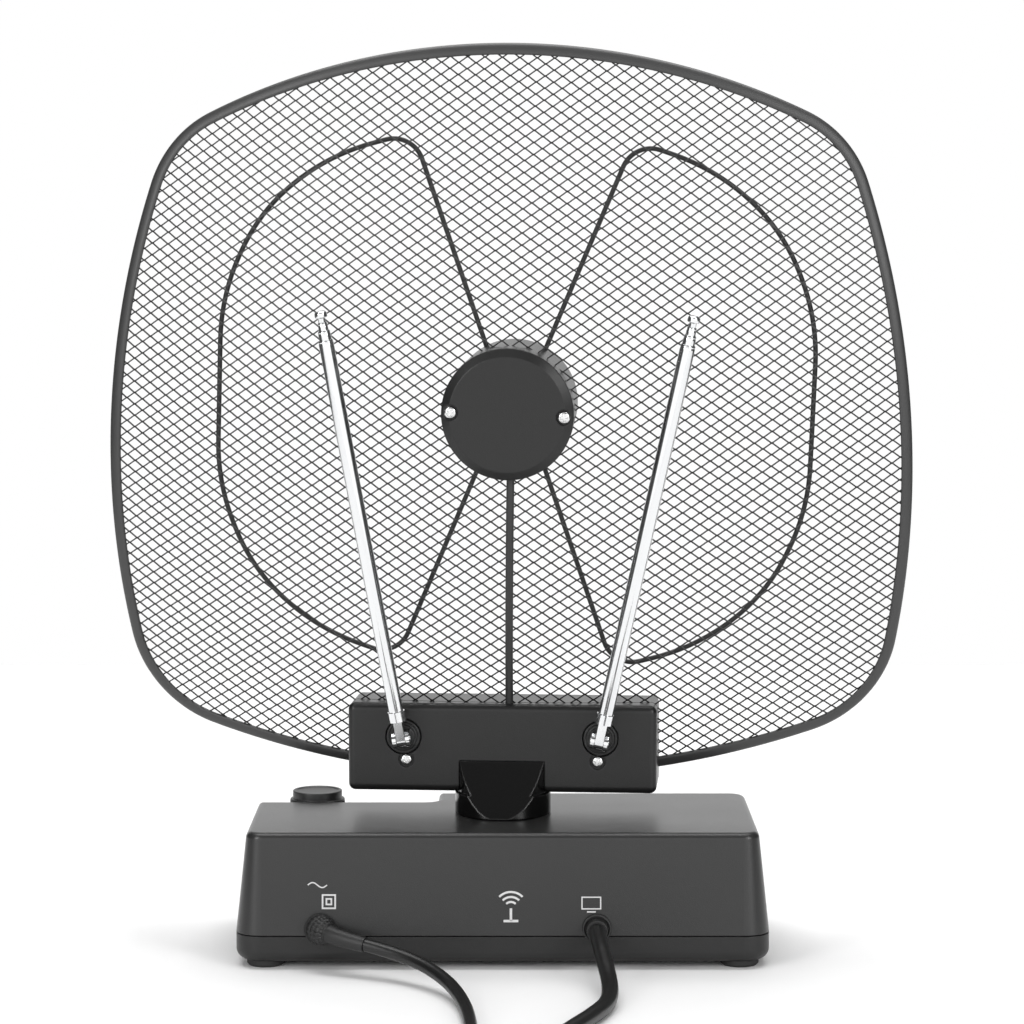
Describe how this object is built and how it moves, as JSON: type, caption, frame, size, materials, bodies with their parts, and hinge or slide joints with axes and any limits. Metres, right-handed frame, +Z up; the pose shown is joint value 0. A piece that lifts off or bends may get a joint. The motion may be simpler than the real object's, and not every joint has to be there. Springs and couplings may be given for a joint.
{
  "type": "indoor television antenna",
  "caption": "Mains-powered indoor TV antenna: swivelling dished mesh reflector with UHF wire loops, telescopic rods and a gain knob.",
  "frame": {"origin": "on the table, under the middle of the object, which is also the swivel axis", "axes": "+Z up, +Y towards the side that the dish faces, -Y the rear with the leads and the telescopic rods, +X right as seen from the rear"},
  "size_m": [0.3032, 0.3039, 0.3371],
  "materials": {
    "upper_plastic": "satin moulded ABS",
    "lower_plastic": "fine texture",
    "foot_rubber": "matt",
    "gloss_plastic": "gloss",
    "satin_plastic": "satin",
    "knob_plastic": "satin",
    "mesh_metal": "black powder coat on expanded steel",
    "rim_metal": "satin grey-black coat",
    "loop_metal": "black coat",
    "mast_metal": "black coat",
    "rod_chrome": "polished",
    "screw_steel": "zinc plated",
    "board_laminate": "solder mask",
    "copper_winding": "enamelled",
    "plate_steel": "plain",
    "capacitor_sleeve": "sleeve",
    "brass": "plain",
    "plug_nickel": "nickel",
    "plug_plastic": "moulded PVC",
    "lead_sheath": "PVC sheath"
  },
  "bodies": {
    "base": {"ballast_plate": "plate_steel", "base_feet": "foot_rubber", "base_lower_shell": "lower_plastic", "base_screws": "screw_steel", "base_upper_shell": "upper_plastic", "coax_cord": "lead_sheath", "coax_cord_coil": "lead_sheath", "coax_plug_body": "plug_plastic", "coax_plug_pin": "plug_nickel", "coax_plug_ring": "plug_nickel", "coax_strain_relief": "plug_plastic", "filter_capacitors": "capacitor_sleeve", "gain_potentiometer": "plate_steel", "main_circuit_board": "board_laminate", "mains_cord": "lead_sheath", "mains_cord_coil": "lead_sheath", "mains_plug_body": "plug_plastic", "mains_plug_pins": "brass", "mains_strain_relief": "plug_plastic", "rf_shield_can": "plate_steel", "transformer_core": "plate_steel", "transformer_winding": "copper_winding"},
    "head": {"neck": "gloss_plastic", "swivel_washer": "screw_steel", "swivel_screw": "screw_steel", "bracket_rear_cover": "satin_plastic", "bracket_front_housing": "satin_plastic", "bracket_screws": "screw_steel", "vhf_combiner_board": "board_laminate", "combiner_coils": "copper_winding", "mast_tube": "mast_metal", "hub_rear_cap": "satin_plastic", "hub_front_housing": "satin_plastic", "hub_screws": "screw_steel", "balun_board": "board_laminate", "loop_terminals": "brass", "uhf_loop_left": "loop_metal", "uhf_loop_right": "loop_metal", "reflector_mesh": "mesh_metal", "reflector_rim": "rim_metal"},
    "gain_control": {"gain_knob": "knob_plastic", "gain_shaft": "plate_steel"},
    "left_swivel": {"left_rod_swivel": "rod_chrome", "left_rod_retainer": "screw_steel", "left_fold_pin": "screw_steel"},
    "left_rod": {"left_rod_root": "rod_chrome", "left_rod_section_1": "rod_chrome"},
    "left_tube_2": {"left_rod_section_2": "rod_chrome"},
    "left_tube_3": {"left_rod_section_3": "rod_chrome"},
    "left_tube_4": {"left_rod_section_4": "rod_chrome"},
    "right_swivel": {"right_rod_swivel": "rod_chrome", "right_rod_retainer": "screw_steel", "right_fold_pin": "screw_steel"},
    "right_rod": {"right_rod_root": "rod_chrome", "right_rod_section_1": "rod_chrome"},
    "right_tube_2": {"right_rod_section_2": "rod_chrome"},
    "right_tube_3": {"right_rod_section_3": "rod_chrome"},
    "right_tube_4": {"right_rod_section_4": "rod_chrome"}
  },
  "joints": [
    {"name": "head_swivel", "type": "hinge", "parent": "base", "child": "head", "pos_m": [0, 0, 0.05], "axis": [0, 0, 1], "range_deg": [-85.5, 94.5]},
    {"name": "gain_turn", "type": "hinge", "parent": "base", "child": "gain_control", "pos_m": [-0.072, 0.034, 0.046], "axis": [0, 0, 1], "range_deg": [-300, 0]},
    {"name": "left_rod_swing", "type": "hinge", "parent": "head", "child": "left_swivel", "pos_m": [-0.03791, -0.01006, 0.079], "axis": [-0.0785, -0.9969, 0], "range_deg": [-2, 80.2]},
    {"name": "left_rod_fold", "type": "hinge", "parent": "left_swivel", "child": "left_rod", "pos_m": [-0.03791, -0.01006, 0.079], "axis": [0.9824, -0.0773, 0.1702], "range_deg": [0, 84.8]},
    {"name": "left_slide_2", "type": "slide", "parent": "left_rod", "child": "left_tube_2", "axis": [-0.1761, -0.0771, 0.9814], "range_m": [0, 0.118]},
    {"name": "left_slide_3", "type": "slide", "parent": "left_tube_2", "child": "left_tube_3", "axis": [-0.1761, -0.0771, 0.9814], "range_m": [0, 0.118]},
    {"name": "left_slide_4", "type": "slide", "parent": "left_tube_3", "child": "left_tube_4", "axis": [-0.1761, -0.0771, 0.9814], "range_m": [0, 0.118]},
    {"name": "right_rod_swing", "type": "hinge", "parent": "head", "child": "right_swivel", "pos_m": [0.03587, -0.01586, 0.079], "axis": [0.0785, 0.9969, 0], "range_deg": [-3, 77.6]},
    {"name": "right_rod_fold", "type": "hinge", "parent": "right_swivel", "child": "right_rod", "pos_m": [0.03587, -0.01586, 0.079], "axis": [0.9737, -0.0766, -0.2147], "range_deg": [0, 84.8]},
    {"name": "right_slide_2", "type": "slide", "parent": "right_rod", "child": "right_tube_2", "axis": [0.2061, -0.1071, 0.9727], "range_m": [0, 0.118]},
    {"name": "right_slide_3", "type": "slide", "parent": "right_tube_2", "child": "right_tube_3", "axis": [0.2061, -0.1071, 0.9727], "range_m": [0, 0.118]},
    {"name": "right_slide_4", "type": "slide", "parent": "right_tube_3", "child": "right_tube_4", "axis": [0.2061, -0.1071, 0.9727], "range_m": [0, 0.118]}
  ]
}
